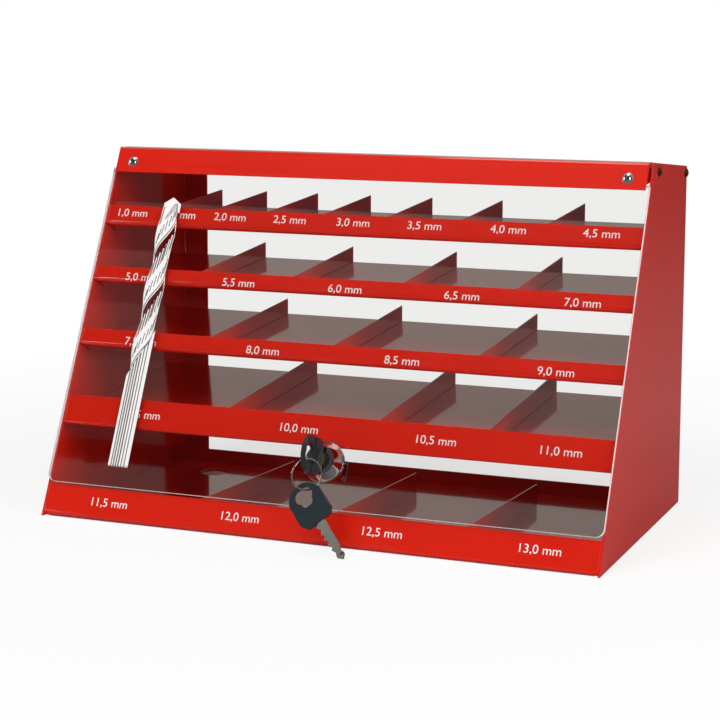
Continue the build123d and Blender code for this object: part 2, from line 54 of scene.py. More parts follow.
MM = 0.001
Point = tuple[float, float]
Colour = tuple[float, float, float, float]
WHITE: Colour = (1.0, 1.0, 1.0, 1.0)
BLACK: Colour = (0.0, 0.0, 0.0, 1.0)
# A mix node's sockets share their names, so its two inputs and its output go by number.
MIX_SOCKETS = {"RGBA": (6, 7, 2), "FLOAT": (2, 3, 0)}

# Rounding of sharp edges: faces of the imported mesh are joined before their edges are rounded.
JOINED_WITHIN = 0.001 * MM
ROUNDING_STEPS = 2
SHARP_FROM = math.radians(50)


class Slot(Enum):
    """Material slots of the record."""

    ENAMEL = "red_enamel"
    ACRYLIC = "clear_acrylic"
    PLUG = "nickel_plug"


class Body(Enum):
    """Bodies of the frame that new pieces ride on."""

    CASE = "case"
    COVER = "cover"
    PLUG = "lock_plug"


# ------------------------------------------------------------------ colour and nodes
def linear(colour: str) -> Colour:
    """Turns an sRGB hex colour to linear.

    Args:
        colour: Six hex digits after a hash sign.

    Returns:
        Red, green and blue, and an alpha of 1.
    """
    channels = (int(colour[i : i + 2], 16) / 255 for i in (1, 3, 5))
    # The straight foot and the curve of the sRGB standard.
    red, green, blue = (
        c / 12.92 if c <= 0.04045 else ((c + 0.055) / 1.055) ** 2.4 for c in channels
    )
    return red, green, blue, 1.0


def add_node(
    tree: bpy.types.NodeTree, kind: str, inputs: dict[Any, Any] | None = None, **settings: Any
) -> bpy.types.Node:
    """Adds a node with its settings and links.

    Args:
        tree: Node tree that gets it.
        kind: Node type name.
        inputs: Socket name or number to a value, or to the output socket to link.
        settings: Properties of the node.

    Returns:
        The new node.
    """
    node = tree.nodes.new(kind)
    for name, value in settings.items():
        setattr(node, name, value)
    for socket, value in (inputs or {}).items():
        if isinstance(value, bpy.types.NodeSocket):
            tree.links.new(value, node.inputs[socket])
        else:
            node.inputs[socket].default_value = value
    return node


def mix(tree: bpy.types.NodeTree, data: str, share: Any, first: Any, second: Any) -> Any:
    """Adds a node that mixes two colours or two numbers.

    Args:
        tree: Node tree that gets it.
        data: What is mixed: a key of MIX_SOCKETS.
        share: Share of the second value, as a number or a socket.
        first: Value, or the socket that gives it.
        second: Value, or the socket that gives it.

    Returns:
        The socket of the result.
    """
    low, high, mixed = MIX_SOCKETS[data]
    node = add_node(
        tree, "ShaderNodeMix", {"Factor": share, low: first, high: second}, data_type=data
    )
    return node.outputs[mixed]


def mix_shaders(tree: bpy.types.NodeTree, share: Any, first: Any, second: Any) -> Any:
    """Adds a node that mixes two shaders.

    Args:
        tree: Node tree that gets it.
        share: Share of the second shader, as a number or a socket.
        first: Socket of the first shader.
        second: Socket of the second shader.

    Returns:
        The socket of the result.
    """
    return add_node(tree, "ShaderNodeMixShader", {0: share, 1: first, 2: second}).outputs["Shader"]


def calculate(
    tree: bpy.types.NodeTree, operation: str, *values: Any, clamped: bool = False
) -> Any:
    """Adds a node that calculates with numbers.

    Args:
        tree: Node tree that gets it.
        operation: Name of the operation.
        values: Numbers, or the sockets that give them.
        clamped: Whether the result is kept from 0 to 1.

    Returns:
        The socket of the result.
    """
    inputs = dict(enumerate(values))
    node = add_node(tree, "ShaderNodeMath", inputs, operation=operation, use_clamp=clamped)
    return node.outputs["Value"]


def new_material(name: str) -> tuple[bpy.types.Material, bpy.types.NodeTree]:
    """Makes an empty node material.

    Args:
        name: Its name.

    Returns:
        The material and its node tree.
    """
    material = bpy.data.materials.new(name)
    material.use_nodes = True
    material.node_tree.nodes.clear()
    return material, material.node_tree


# ------------------------------------------------------------------ finishes
@dataclass(frozen=True)
class StovedEnamel:
    """Gloss alkyd enamel, sprayed and stoved on steel sheet: red, wet-looking, mirror-like."""

    name: str = "stoved_gloss_enamel"
    pigment: str = "#DA2210"
    deep_pigment: str = "#CF1C0C"
    roughness: float = 0.16
    coat_roughness: float = 0.03
    ior: float = 1.5
    peel_size: float = 1.6 * MM
    peel_depth: float = 0.0012 * MM
    cloud_size: float = 60 * MM

    def build(self) -> bpy.types.Material:
        """Builds the material, with faint orange peel and a barely uneven film.

        Returns:
            The enamel.
        """
        material, tree = new_material(self.name)
        place = add_node(tree, "ShaderNodeTexCoord")
        cloud = add_node(
            tree,
            "ShaderNodeTexNoise",
            {"Vector": place.outputs["Object"], "Scale": 1 / self.cloud_size, "Detail": 2.0},
        )
        film = mix(
            tree, "RGBA", cloud.outputs["Fac"], linear(self.pigment), linear(self.deep_pigment)
        )
        # Orange peel: the shallow waves of a sprayed film, which bend its reflections.
        peel = add_node(
            tree,
            "ShaderNodeTexNoise",
            {"Vector": place.outputs["Object"], "Scale": 1 / self.peel_size, "Detail": 1.0},
        )
        bump = add_node(
            tree,
            "ShaderNodeBump",
            {"Height": peel.outputs["Fac"], "Distance": self.peel_depth, "Strength": 1.0},
        )
        shader = add_node(
            tree,
            "ShaderNodeBsdfPrincipled",
            {
                "Base Color": film,
                "Roughness": self.roughness,
                "IOR": self.ior,
                "Coat Weight": 1.0,
                "Coat Roughness": self.coat_roughness,
                "Normal": bump.outputs["Normal"],
            },
        )
        add_node(tree, "ShaderNodeOutputMaterial", {"Surface": shader.outputs["BSDF"]})
        return material


@dataclass(frozen=True)
class CastAcrylic:
    """Clear cast acrylic sheet, saw-cut and polished: it greys what is behind it a little,
    and its edges are painted pale, as painted light for the light they gather."""

    name: str = "clear_cast_acrylic"
    tint: str = "#F8F8F7"
    piped_light_colour: str = "#E9E4E2"
    edge_share: float = 0.8
    ior: float = 1.49
    # Direction square out of the sheet, and how far along it a face's own must lie.
    normal: tuple[float, float, float] = (0.0, -0.9057, 0.4239)
    face_limit: float = 0.7

    def build(self) -> bpy.types.Material:
        """Builds the material: clear on its two faces, with painted light on its edges.

        Returns:
            The acrylic.
        """
        material, tree = new_material(self.name)
        rays = add_node(tree, "ShaderNodeLightPath")
        # Light from the lamps passes whole: a soft studio fills in what the sheet takes away.
        shade = mix(tree, "RGBA", rays.outputs["Is Shadow Ray"], linear(self.tint), WHITE)
        clear = add_node(tree, "ShaderNodeBsdfTransparent", {"Color": shade})
        gloss = add_node(tree, "ShaderNodeBsdfGlossy", {"Roughness": 0.0})
        fresnel = add_node(tree, "ShaderNodeFresnel", {"IOR": self.ior})
        # Only the outer faces mirror: a straight ray would meet false total reflection inside.
        geometry = add_node(tree, "ShaderNodeNewGeometry")
        outer = calculate(
            tree,
            "SUBTRACT",
            rays.outputs["Is Camera Ray"],
            geometry.outputs["Backfacing"],
            clamped=True,
        )
        seen = calculate(tree, "MULTIPLY", fresnel.outputs["Fac"], outer)
        face = mix_shaders(tree, seen, clear.outputs["BSDF"], gloss.outputs["BSDF"])
        # Painted light: the edges get a pale colour that stands in for the light the sheet carries
        # to them.
        edge = add_node(tree, "ShaderNodeBsdfTranslucent", {"Color": linear(self.piped_light_colour)})
        painted_edge_light = add_node(tree, "ShaderNodeBsdfDiffuse", {"Color": linear(self.piped_light_colour)})
        rim = mix_shaders(tree, self.edge_share, edge.outputs["BSDF"], painted_edge_light.outputs["BSDF"])
        # The sheet's own normal, so that faces and edges stay apart when the front is lifted.
        place = add_node(tree, "ShaderNodeTexCoord")
        facing = add_node(
            tree,
            "ShaderNodeVectorMath",
            {0: place.outputs["Normal"], 1: self.normal},
            operation="DOT_PRODUCT",
        )
        size = calculate(tree, "ABSOLUTE", facing.outputs["Value"])
        on_edge = calculate(tree, "LESS_THAN", size, self.face_limit)
        whole = mix_shaders(tree, on_edge, face, rim)
        add_node(tree, "ShaderNodeOutputMaterial", {"Surface": whole})
        return material


@dataclass(frozen=True)
class Metal:
    """A metal finish, with the fine marks that its making left.

    Real marks of polishing, plating and cutting are about a tenth of the sizes given here.
    They are drawn this coarse so that they show in the render.
    """

    name: str
    colour: str
    roughness: float
    mark_size: float
    mark_depth: float
    roughness_spread: float = 0.08
    smoothest: float = 0.01

    def build(self) -> bpy.types.Material:
        """Builds the material: a metal whose roughness and surface vary at the marks' size.

        Returns:
            The metal.
        """
        material, tree = new_material(self.name)
        place = add_node(tree, "ShaderNodeTexCoord")
        marks = add_node(
            tree,
            "ShaderNodeTexNoise",
            {"Vector": place.outputs["Object"], "Scale": 1 / self.mark_size, "Detail": 3.0},
        )
        spread = add_node(
            tree,
            "ShaderNodeMapRange",
            {
                "Value": marks.outputs["Fac"],
                "To Min": max(self.roughness - self.roughness_spread, self.smoothest),
                "To Max": self.roughness + self.roughness_spread,
            },
        )
        bump = add_node(
            tree,
            "ShaderNodeBump",
            {"Height": marks.outputs["Fac"], "Distance": self.mark_depth, "Strength": 1.0},
        )
        shader = add_node(
            tree,
            "ShaderNodeBsdfPrincipled",
            {
                "Base Color": linear(self.colour),
                "Metallic": 1.0,
                "Roughness": spread.outputs["Result"],
                "Normal": bump.outputs["Normal"],
            },
        )
        add_node(tree, "ShaderNodeOutputMaterial", {"Surface": shader.outputs["BSDF"]})
        return material


@dataclass(frozen=True)
class MouldedAbs:
    """Black ABS, moulded in a lightly spark-eroded tool: a soft satin sheen."""

    name: str = "moulded_black_abs"
    colour: str = "#212B30"
    roughness: float = 0.34
    ior: float = 1.53
    # A spark-eroded grain is about 0.1 mm wide: it is drawn coarser, so that it shows.
    grain_size: float = 0.5 * MM
    grain_depth: float = 0.01 * MM

    def build(self) -> bpy.types.Material:
        """Builds the material, with the tool's fine grain.

        Returns:
            The plastic.
        """
        material, tree = new_material(self.name)
        place = add_node(tree, "ShaderNodeTexCoord")
        grain = add_node(
            tree,
            "ShaderNodeTexNoise",
            {"Vector": place.outputs["Object"], "Scale": 1 / self.grain_size, "Detail": 2.0},
        )
        bump = add_node(
            tree,
            "ShaderNodeBump",
            {"Height": grain.outputs["Fac"], "Distance": self.grain_depth, "Strength": 1.0},
        )
        shader = add_node(
            tree,
            "ShaderNodeBsdfPrincipled",
            {
                "Base Color": linear(self.colour),
                "Roughness": self.roughness,
                "IOR": self.ior,
                "Normal": bump.outputs["Normal"],
            },
        )
        add_node(tree, "ShaderNodeOutputMaterial", {"Surface": shader.outputs["BSDF"]})
        return material


@dataclass(frozen=True)
class ScreenInk:
    """Screen-printed ink: a flat, even film with the mesh's slight unevenness."""

    name: str
    colour: str
    roughness: float = 0.45
    # The threads of a printing mesh lie about 0.1 mm apart: drawn coarser, so that they show.
    mesh_size: float = 0.35 * MM
    mottle: float = 0.05

    def build(self) -> bpy.types.Material:
        """Builds the material, mottled at the size of the printing mesh.

        Returns:
            The ink.
        """
        material, tree = new_material(self.name)
        place = add_node(tree, "ShaderNodeTexCoord")
        film = add_node(
            tree,
            "ShaderNodeTexNoise",
            {"Vector": place.outputs["Object"], "Scale": 1 / self.mesh_size, "Detail": 1.0},
        )
        shade = add_node(
            tree,
            "ShaderNodeMapRange",
            {"Value": film.outputs["Fac"], "To Min": 1 - 2 * self.mottle, "To Max": 1.0},
        )
        colour = mix(tree, "RGBA", shade.outputs["Result"], BLACK, linear(self.colour))
        shader = add_node(
            tree, "ShaderNodeBsdfPrincipled", {"Base Color": colour, "Roughness": self.roughness}
        )
        add_node(tree, "ShaderNodeOutputMaterial", {"Surface": shader.outputs["BSDF"]})
        return material


@dataclass
class Finishes:
    """Every finish of the case, built once."""

    enamel: bpy.types.Material = field(init=False)
    acrylic: bpy.types.Material = field(init=False)
    chrome: bpy.types.Material = field(init=False)
    bronzed: bpy.types.Material = field(init=False)
    zinc: bpy.types.Material = field(init=False)
    nickel: bpy.types.Material = field(init=False)
    blade: bpy.types.Material = field(init=False)
    wire: bpy.types.Material = field(init=False)
    brass: bpy.types.Material = field(init=False)
    plastic: bpy.types.Material = field(init=False)
    white_ink: bpy.types.Material = field(init=False)
    grey_ink: bpy.types.Material = field(init=False)

    def __post_init__(self) -> None:
        """Builds the materials."""
        self.enamel = StovedEnamel().build()
        self.acrylic = CastAcrylic().build()
        # Decorative chrome over nickel: bright and slightly blue.
        self.chrome = Metal(
            "polished_chrome",
            "#D9DBDD",
            roughness=0.06,
            mark_size=3 * MM,
            mark_depth=0.002 * MM,
            roughness_spread=0.03,
        ).build()
        # Brass, chemically darkened: brown with a dull shine.
        self.bronzed = Metal(
            "darkened_brass",
            "#6E4A36",
            roughness=0.36,
            mark_size=0.8 * MM,
            mark_depth=0.01 * MM,
        ).build()
        # Zinc plate, passivated: grey with fine cloudy crystals.
        self.zinc = Metal(
            "zinc_plate",
            "#A9ADB0",
            roughness=0.38,
            mark_size=1.2 * MM,
            mark_depth=0.006 * MM,
        ).build()
        # Die-cast zinc, nickel plated and turned on its face: a warm, fairly dull grey.
        self.nickel = Metal(
            "nickel_plated_zinc",
            "#8F8C84",
            roughness=0.28,
            mark_size=0.6 * MM,
            mark_depth=0.006 * MM,
        ).build()
        # Nickel silver strip, stamped and milled: pale and warm, with soft highlights.
        self.blade = Metal(
            "stamped_nickel_silver",
            "#B4AFA6",
            roughness=0.24,
            mark_size=0.7 * MM,
            mark_depth=0.008 * MM,
        ).build()
        # Spring wire, nickel plated: thin bright lines along its length.
        self.wire = Metal(
            "nickel_plated_wire",
            "#D2D0CC",
            roughness=0.14,
            mark_size=1 * MM,
            mark_depth=0.003 * MM,
            roughness_spread=0.05,
        ).build()
        # Free-cutting brass, bare where the cutter passed: a pale yellow, scattered shine.
        self.brass = Metal(
            "bare_cut_brass",
            "#D8C48C",
            roughness=0.45,
            mark_size=0.5 * MM,
            mark_depth=0.01 * MM,
        ).build()
        self.plastic = MouldedAbs().build()
        # Two inks: an opaque warm white, and the dark grey of the drill's drawn lines.
        self.white_ink = ScreenInk("white_screen_ink", "#F6F2F0").build()
        self.grey_ink = ScreenInk("grey_screen_ink", "#5C5457").build()


# ------------------------------------------------------------------ the leaning front
@dataclass(frozen=True)
class LeaningFront:
    """The plane of the case's front, which every lip and the acrylic lie along."""

    case_depth: float = 215 * MM
    top_depth: float = 98 * MM
    height: float = 250 * MM

    @property
    def angle(self) -> float:
        """Lean of the front from upright, in radians."""
        return math.atan2(self.case_depth - self.top_depth, self.height)

    @property
    def up(self) -> Vector:
        """Direction up the slope."""
        return Vector((0, math.sin(self.angle), math.cos(self.angle)))

    @property
    def outward(self) -> Vector:
        """Direction square out of the front."""
        return Vector((0, -math.cos(self.angle), math.sin(self.angle)))

    def point(self, x: float, slope: float, out: float) -> Vector:
        """Gives a point in the frame.

        Args:
            x: Distance to the right of the middle.
            slope: Distance up the slope.
            out: Distance in front of the face.

        Returns:
            The point.
        """
        foot = Vector((x, -self.case_depth / 2, 0))
        return foot + self.up * slope + self.outward * out

    def matrix(self, x: float, slope: float, out: float) -> Matrix:
        """Gives the frame of a flat drawing on the front, x across and y up the slope.

        Args:
            x: Place of its origin across the front.
            slope: Place of its origin up the slope.
            out: Its distance in front of the face.

        Returns:
            A matrix from the drawing to the case.
        """
        across = Vector((1, 0, 0))
        rotation = Matrix((across, self.up, self.outward)).transposed().to_4x4()
        return Matrix.Translation(self.point(x, slope, out)) @ rotation


# ------------------------------------------------------------------ mesh helpers
def mesh_piece(name: str, mesh: bpy.types.Mesh, material: bpy.types.Material) -> bpy.types.Object:
    """Puts a mesh in the scene as a piece.

    Args:
        name: Name of the piece.
        mesh: Its mesh, in the frame.
        material: Its finish.

    Returns:
        The object.
    """
    mesh.name = name
    mesh.materials.clear()
    mesh.materials.append(material)
    piece = bpy.data.objects.new(name, mesh)
    bpy.context.scene.collection.objects.link(piece)
    log.info("piece %s: %d faces", name, len(mesh.polygons))
    return piece


def inked_shapes(
    name: str,
    outlines: Iterable[Sequence[Point]],
    place: Matrix,
    material: bpy.types.Material,
) -> bpy.types.Object:
    """Prints flat outlines on a surface.

    Args:
        name: Name of the piece.
        outlines: Closed outlines in the drawing's own x and y.
        place: Matrix from the drawing to the case.
        material: The ink.

    Returns:
        The printed piece.
    """
    drawing = bmesh.new()
    for outline in outlines:
        corners = [drawing.verts.new(place @ Vector((x, y, 0))) for x, y in outline]
        drawing.faces.new(corners)
    bmesh.ops.triangulate(drawing, faces=drawing.faces[:])
    mesh = bpy.data.meshes.new(name)
    drawing.to_mesh(mesh)
    drawing.free()
    return mesh_piece(name, mesh, material)


# ------------------------------------------------------------------ case
@dataclass
class Case:
    """The sheet-steel case: its enamel, its rivets and pins, and the printed drill sizes."""

    front: LeaningFront
    finishes: Finishes
    enamelled: tuple[str, ...] = ("left_side", "right_side", "base_tray", "top_panel")
    enamelled_sets: tuple[str, ...] = ("shelf_", "divider_")
    bronzed: tuple[str, ...] = ("hinge_pins", "top_rivets")
    zinc_plated: tuple[str, ...] = ("hinge_washers",)
    # Printed sizes, in millimetres: slope of each row's middle, then each mark's x and text.
    row_slopes: tuple[float, ...] = (225.2, 177.0, 129.5, 77.5, 13.6)
    row_sizes: tuple[tuple[tuple[float, str], ...], ...] = (
        (
            (-178.8, "1,0"),
            (-140.0, "1,5"),
            (-100.2, "2,0"),
            (-53.8, "2,5"),
            (-5.9, "3,0"),
            (46.7, "3,5"),
            (106.7, "4,0"),
            (171.0, "4,5"),
        ),
        ((-160.7, "5,0"), (-83.8, "5,5"), (-3.2, "6,0"), (81.4, "6,5"), (164.7, "7,0")),
        ((-150.7, "7,5"), (-55.7, "8,0"), (46.7, "8,5"), (153.4, "9,0")),
        ((-136.2, "9,5"), (-19.0, "10,0"), (79.0, "10,5"), (163.8, "11,0")),
        ((-149.7, "11,5"), (-50.0, "12,0"), (52.2, "12,5"), (159.1, "13,0")),
    )
    digit_height: float = 5.6 * MM
    letter_size: float = 8.4 * MM
    ink_lift: float = 0.05 * MM
    painted_edge: float = 0.3 * MM

    def dress(self, nodes: dict[str, bpy.types.Object]) -> None:
        """Gives the case's nodes their finishes.

        Args:
            nodes: The frame's nodes by name.
        """
        for name, node in nodes.items():
            if name in self.enamelled or name.startswith(self.enamelled_sets):
                finish(node, self.finishes.enamel, self.painted_edge)
            elif name in self.bronzed:
                finish(node, self.finishes.bronzed)
            elif name in self.zinc_plated:
                finish(node, self.finishes.zinc)

    def print_sizes(self) -> None:
        """Prints the drill sizes on the lips."""
        for row, (slope, sizes) in enumerate(zip(self.row_slopes, self.row_sizes), start=1):
            for number, (x, size) in enumerate(sizes, start=1):
                self.print_size(f"size_mark_{row}_{number}", f"{size} mm", x * MM, slope * MM)

    def print_size(self, name: str, text: str, x: float, slope: float) -> None:
        """Prints one drill size.

        Args:
            name: Name of the piece.
            text: What it reads.
            x: Place of its middle across the front.
            slope: Place of its middle up the slope.
        """
        curve = bpy.data.curves.new(name + "_text", "FONT")
        curve.body = text
        curve.align_x = "CENTER"
        letters = bpy.data.objects.new(name + "_text", curve)
        bpy.context.scene.collection.objects.link(letters)
        bpy.context.view_layer.update()
        graph = bpy.context.evaluated_depsgraph_get()
        mesh = bpy.data.meshes.new_from_object(letters.evaluated_get(graph))
        bpy.data.objects.remove(letters)
        bpy.data.curves.remove(curve)
        # The built-in face is narrow, so its width is set apart from the digits' real height.
        tallest = max(v.co.y for v in mesh.vertices)
        stretch = Matrix.Diagonal((self.letter_size, self.digit_height / tallest, 1, 1))
        middle = Matrix.Translation((0, -self.digit_height / 2, 0))
        mesh.transform(self.front.matrix(x, slope, self.ink_lift) @ middle @ stretch)
        piece = mesh_piece(name, mesh, self.finishes.white_ink)
        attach(piece, Body.CASE.value)


def finish(node: bpy.types.Object, material: bpy.types.Material, edge: float = 0.0) -> None:
    """Gives a CAD node its finish, and rounds its sharp edges as paint or a mould does.

    Args:
        node: The node.
        material: The finish.
        edge: Width of the rounding, or 0 for none.
    """
    node.data.materials.clear()
    node.data.materials.append(material)
    log.info("node %s: %s", node.name, material.name)
    if edge:
        weld = node.modifiers.new("joined_faces", "WELD")
        weld.merge_threshold = JOINED_WITHIN
        bevel = node.modifiers.new("softened_edges", "BEVEL")
        bevel.width = edge
        bevel.segments = ROUNDING_STEPS
        bevel.limit_method = "ANGLE"
        bevel.angle_limit = SHARP_FROM
        bevel.harden_normals = True


# ------------------------------------------------------------------ cover
@dataclass(frozen=True)
class Hatch:
    """Slanting strokes, repeated on each land.

    Attributes:
        rise: Height of their feet above the start of the land.
        length: Length of a stroke.
        width: Width of a stroke.
        count: Number of strokes on a land.
    """

    rise: float
    length: float
    width: float
    count: int


@dataclass
class Cover:
    """The acrylic front with its header strip, and the twist drill printed on it."""

    front: LeaningFront
    finishes: Finishes
    print_x: float = -146.8 * MM
    print_foot: float = 38.7 * MM
    print_length: float = 198.2 * MM
    print_half: float = 7.7 * MM
    shank_length: float = 65 * MM
    window_front: float = 3.3 * MM
    ink_lift: float = 0.05 * MM
    line_lift: float = 0.09 * MM
    painted_edge: float = 0.3 * MM
    # Shank lines as (left, right) in millimetres from the middle.
    white_lines: tuple[Point, ...] = (
        (-7.7, -5.9),
        (-5.1, -4.2),
        (-3.3, -2.3),
        (-1.4, -0.5),
        (0.5, 1.9),
        (2.6, 4.2),
        (4.9, 7.7),
    )
    grey_lines: tuple[Point, ...] = (
        (-5.9, -5.1),
        (-4.2, -3.3),
        (-2.3, -1.4),
        (-0.4, 0.4),
        (1.9, 2.6),
        (4.2, 4.9),
    )
    flute_spacing: float = 42.3 * MM
    flute_rise: float = 34 * MM
    land_height: float = 22 * MM
    line_width: float = 0.55 * MM
    foot_line: float = 0.9 * MM
    grey_band: Point = (1.4 * MM, 2.8 * MM)
    white_hatch: Hatch = Hatch(rise=22 * MM, length=15 * MM, width=0.8 * MM, count=8)
    grey_hatches: tuple[Hatch, ...] = (
        Hatch(rise=8 * MM, length=8 * MM, width=0.6 * MM, count=8),
        Hatch(rise=23 * MM, length=13 * MM, width=0.6 * MM, count=6),
    )
    # Strokes stand on this middle share of a land, and lean by this share of their length.
    hatch_start: float = 0.15
    hatch_share: float = 0.7
    hatch_lean: float = 0.1
    waist: float = 2.4 * MM
    tip_length: float = 4 * MM
    # Corners of the point: share of the half width, and millimetres above the flutes' end.
    tip_corners: tuple[Point, ...] = (
        (-0.85, -15.0),
        (-0.1, -12.0),
        (0.5, -5.0),
        (1.0, -8.0),
        (1.0, -1.0),
        (0.1, 4.0),
        (-0.75, -0.5),
    )
    steps: int = 20
    border_steps: int = 60

    def dress(self, nodes: dict[str, bpy.types.Object]) -> None:
        """Gives the cover's nodes their finishes.

        Args:
            nodes: The frame's nodes by name.
        """
        finish(nodes["front_window"], self.finishes.acrylic)
        finish(nodes["header_strip"], self.finishes.enamel, self.painted_edge)
        finish(nodes["cover_screws"], self.finishes.chrome)
        finish(nodes["cover_washers"], self.finishes.zinc)
        finish(nodes["cover_nuts"], self.finishes.zinc)

    def print_drill(self) -> None:
        """Prints the twist drill: white lines and lands first, then their grey lines."""
        below = self.window_front + self.ink_lift
        above = self.window_front + self.line_lift
        white = self.shank_outlines(self.white_lines) + self.bands(0.0, self.land_height)
        white += self.border_outlines() + self.strokes(self.white_hatch)
        white += [self.foot_outline(), self.point_outline()]
        grey = self.shank_outlines(self.grey_lines) + self.bands(*self.grey_band)
        for hatch in self.grey_hatches:
            grey += self.strokes(hatch)
        for name, outlines, out, ink in (
            ("drill_print_white", white, below, self.finishes.white_ink),
            ("drill_print_grey", grey, above, self.finishes.grey_ink),
        ):
            place = self.front.matrix(self.print_x, self.print_foot, out)
            piece = inked_shapes(name, outlines, place, ink)
            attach(piece, Body.COVER.value)

    @property
    def fluted_top(self) -> float:
        """Height at which the flutes end under the point."""
        return self.print_length - self.tip_length

    def shank_outlines(self, lines: Iterable[Point]) -> list[list[Point]]:
        """Gives the shank's upright lines, cut off along the first land.

        Args:
            lines: Left and right of each line, in millimetres.

        Returns:
            Their outlines.
        """
        slant = self.flute_rise / (2 * self.print_half)
        middle = self.shank_length + self.flute_rise / 2
        return [
            [
                (a * MM, 0),
                (b * MM, 0),
                (b * MM, middle + b * MM * slant),
                (a * MM, middle + a * MM * slant),
            ]
            for a, b in lines
        ]

    def foot_outline(self) -> list[Point]:
        """Gives the white line across the foot of the shank."""
        half, line = self.print_half, self.foot_line
        return [(-half, 0), (half, 0), (half, line), (-half, line)]

    def half_width(self, height: float) -> float:
        """Gives the drill's half width at a height, waisted between its lands."""
        turn = 2 * math.pi * (height - self.shank_length) / self.flute_spacing
        return self.print_half - self.waist * (0.5 + 0.5 * math.cos(turn))

    def helix(self, start: float, share: float) -> Point:
        """Gives a point of a winding line as it crosses the drill.

        Args:
            start: Height at which it leaves the left edge.
            share: From 0 at the left edge to 1 at the right edge.

        Returns:
            Its x and its height.
        """
        height = min(start + self.flute_rise * share, self.fluted_top)
        return self.half_width(height) * math.sin(math.pi * (share - 0.5)), height

    def bands(self, low: float, high: float) -> list[list[Point]]:
        """Gives bands that wind up the drill from left to right.

        Args:
            low: Height of each band's lower edge above the start of its land.
            high: Height of its upper edge.

        Returns:
            Their outlines, in short pieces.
        """
        pieces = []
        start = self.shank_length
        while start + low + self.flute_rise / 2 < self.fluted_top:
            for i in range(self.steps):
                a, b = i / self.steps, (i + 1) / self.steps
                corners = [
                    self.helix(start + low, a),
                    self.helix(start + low, b),
                    self.helix(start + high, b),
                    self.helix(start + high, a),
                ]
                if corners[0][1] < self.fluted_top:
                    pieces.append(corners)
            start += self.flute_spacing
        return pieces

    def border_outlines(self) -> list[list[Point]]:
        """Gives the white outline along both edges of the flutes.

        Returns:
            Its outlines, in short pieces.
        """
        pieces = []
        for side in (-1, 1):
            start = self.shank_length + (self.flute_rise if side > 0 else 0)
            step = (self.fluted_top - start) / self.border_steps
            for i in range(self.border_steps):
                low, high = start + i * step, start + (i + 1) * step
                a, b = self.half_width(low), self.half_width(high)
                pieces.append(
                    [
                        (side * a, low),
                        (side * b, high),
                        (side * (b - self.line_width), high),
                        (side * (a - self.line_width), low),
                    ]
                )
        return pieces

    def strokes(self, hatch: Hatch) -> list[list[Point]]:
        """Gives slanting strokes, side by side up each land.

        Args:
            hatch: Their rise, size and number.

        Returns:
            Their outlines.
        """
        pieces = []
        start = self.shank_length
        lean = self.hatch_lean * hatch.length
        while start + self.flute_rise < self.fluted_top:
            for i in range(hatch.count):
                share = self.hatch_start + self.hatch_share * i / (hatch.count - 1)
                x, y = self.helix(start + hatch.rise, share)
                top = y + hatch.length
                if top < self.fluted_top:
                    pieces.append(
                        [
                            (x, y),
                            (x + hatch.width, y),
                            (x + hatch.width + lean, top),
                            (x + lean, top),
                        ]
                    )
            start += self.flute_spacing
        return pieces

    def point_outline(self) -> list[Point]:
        """Gives the drill's white point."""
        half, foot = self.print_half, self.fluted_top
        return [(share * half, foot + rise * MM) for share, rise in self.tip_corners]


# ------------------------------------------------------------------ lock and keys
@dataclass
class LockAndKeys:
    """The cam lock with its inserted key, the ring, and the spare key."""

    front: LeaningFront
    finishes: Finishes
    lock_x: float = 6 * MM
    lock_slope: float = 55 * MM
    plug_face: float = 12.45 * MM
    keyway_half: float = 1.15 * MM
    cheek_reach: float = 3.4 * MM
    cheek_height: float = 4.6 * MM
    cheek_corner: float = 0.8
    moulded_edge: float = 0.35 * MM
    cut_edge: float = 0.12 * MM
    rounded: tuple[str, ...] = (
        "key_bow",
        "spare_key_bow",
        "key_blade",
        "spare_key_blade",
        "lock_nut",
        "lock_cam",
    )

    def dress(self, nodes: dict[str, bpy.types.Object]) -> None:
        """Gives the lock's and keys' nodes their finishes.

        Args:
            nodes: The frame's nodes by name.
        """
        for name, material in (
            ("lock_housing", self.finishes.chrome),
            ("lock_nut", self.finishes.zinc),
            ("lock_cam", self.finishes.zinc),
            ("cam_screw", self.finishes.zinc),
            ("lock_plug", self.finishes.nickel),
            ("key_blade", self.finishes.blade),
            ("spare_key_blade", self.finishes.blade),
            ("key_bow", self.finishes.plastic),
            ("spare_key_bow", self.finishes.plastic),
            ("key_ring", self.finishes.wire),
        ):
            edge = self.moulded_edge if material is self.finishes.plastic else self.cut_edge
            finish(nodes[name], material, edge if name in self.rounded else 0.0)

    def line_keyway(self) -> None:
        """Adds the brass cheeks that show on both sides of the keyway."""
        place = self.front.matrix(self.lock_x, self.lock_slope, self.plug_face)
        for name, side in (("keyway_cheek_left", -1), ("keyway_cheek_right", 1)):
            near, far = side * self.keyway_half, side * self.cheek_reach
            corner_x = far * self.cheek_corner
            corner_y = self.cheek_height * self.cheek_corner
            outline = [
                (near, -self.cheek_height),
                (corner_x, -corner_y),
                (far, 0),
                (corner_x, corner_y),
                (near, self.cheek_height),
            ]
            piece = inked_shapes(name, [outline], place, self.finishes.brass)
            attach(piece, Body.PLUG.value)


# ------------------------------------------------------------------ studio
@dataclass(frozen=True)
class Softbox:
    """One soft lamp of the studio."""

    name: str
    place: tuple[float, float, float]
    size: tuple[float, float]
    power: float
    mirrored: bool = True


